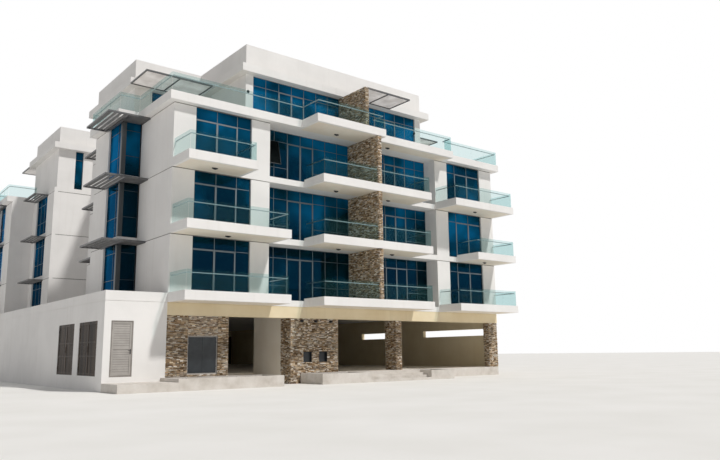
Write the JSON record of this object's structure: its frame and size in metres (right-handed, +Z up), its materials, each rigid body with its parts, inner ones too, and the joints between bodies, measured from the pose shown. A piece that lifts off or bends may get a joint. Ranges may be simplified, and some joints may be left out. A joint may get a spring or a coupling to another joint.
{
  "type": "apartment block",
  "caption": "Hollow apartment block with stone-clad ground storey, side podium, balconies with glass balustrades, light wells and a set-back top storey with terraces; ground doors swing.",
  "frame": {"origin": "where the front's centre line meets the cross line half way back, on the underside of the ground slab at pavement level", "axes": "+X to the right along the front, +Y back into the building, +Z up"},
  "size_m": [26.8, 38.73, 17.85],
  "materials": {
    "balustrade_glass": "clear, green at the edges",
    "canopy_steel": "grey paint, satin",
    "concrete": "painted concrete, cream soffits",
    "door_paint": "dark brown-grey paint, satin",
    "ledgestone": "split-face stone in thin courses",
    "louvre_paint": "warm grey paint, satin",
    "panel_paint": "near-black paint, satin",
    "paving": "fair-faced pale concrete",
    "render": "smooth painted render, off-white",
    "soil": "planting soil",
    "steel_rail": "satin",
    "window_glass": "tinted, reflective"
  },
  "bodies": {
    "block": {"balcony_ends": "render", "balcony_fascias": "render", "balcony_slabs": "concrete", "balustrade_glass": "balustrade_glass", "bay_floors": "render", "bay_front_canopies": "canopy_steel", "bay_roofs": "render", "bay_side_canopies": "canopy_steel", "canopy_arms": "canopy_steel", "canopy_side_arms": "canopy_steel", "centre_glass": "window_glass", "core_floors": "render", "core_roof": "render", "door_frames": "louvre_paint", "entrance_steps": "paving", "front_ground_slabs": "concrete", "front_parapets": "render", "front_walls": "render", "ground_beams": "render", "ground_edges": "paving", "ground_side_walls": "render", "ground_slab": "concrete", "handrails": "steel_rail", "lintels_and_sills": "render", "party_fins": "ledgestone", "planter_soil": "soil", "planters": "paving", "podium_front_walls": "render", "podium_roof": "render", "recess_walls": "render", "service_platform": "paving", "side_beam": "render", "side_parapets": "render", "side_roofs": "render", "side_walls": "render", "sign_wall": "ledgestone", "stone_walls": "ledgestone", "strip_canopies": "canopy_steel", "strip_floors": "render", "terrace_canopies": "canopy_steel", "terrace_sides": "render", "top_front_walls": "render", "top_glass": "window_glass", "top_side_walls": "render", "undercroft_wall": "render", "well_floors": "render", "window_glass": "window_glass", "wing_floors": "render"},
    "service_door": {"service_door": "louvre_paint"},
    "utility_door_left": {"utility_door_left": "panel_paint"},
    "utility_door_right": {"utility_door_right": "panel_paint"},
    "side_door_1_front": {"side_door_1_front": "door_paint"},
    "side_door_1_rear": {"side_door_1_rear": "door_paint"},
    "side_door_2_front": {"side_door_2_front": "door_paint"},
    "side_door_2_rear": {"side_door_2_rear": "door_paint"}
  },
  "joints": [
    {"name": "service_door_hinge", "type": "hinge", "parent": "block", "child": "service_door", "pos_m": [-13.366, -17.539, 0.6], "axis": [0, 0, -1], "range_deg": [0, 90]},
    {"name": "utility_door_left_hinge", "type": "hinge", "parent": "block", "child": "utility_door_left", "pos_m": [-9.926, -17.489, 0.6], "axis": [0, 0, -1], "range_deg": [0, 90]},
    {"name": "utility_door_right_hinge", "type": "hinge", "parent": "block", "child": "utility_door_right", "pos_m": [-8.554, -17.489, 0.6], "axis": [0, 0, 1], "range_deg": [0, 90]},
    {"name": "side_door_1_front_hinge", "type": "hinge", "parent": "block", "child": "side_door_1_front", "pos_m": [-13.709, -16.676, 0.6], "axis": [0, 0, 1], "range_deg": [0, 90]},
    {"name": "side_door_1_rear_hinge", "type": "hinge", "parent": "block", "child": "side_door_1_rear", "pos_m": [-13.709, -14.334, 0.6], "axis": [0, 0, -1], "range_deg": [0, 90]},
    {"name": "side_door_2_front_hinge", "type": "hinge", "parent": "block", "child": "side_door_2_front", "pos_m": [-13.709, -13.496, 0.6], "axis": [0, 0, 1], "range_deg": [0, 90]},
    {"name": "side_door_2_rear_hinge", "type": "hinge", "parent": "block", "child": "side_door_2_rear", "pos_m": [-13.709, -11.154, 0.6], "axis": [0, 0, -1], "range_deg": [0, 90]}
  ]
}
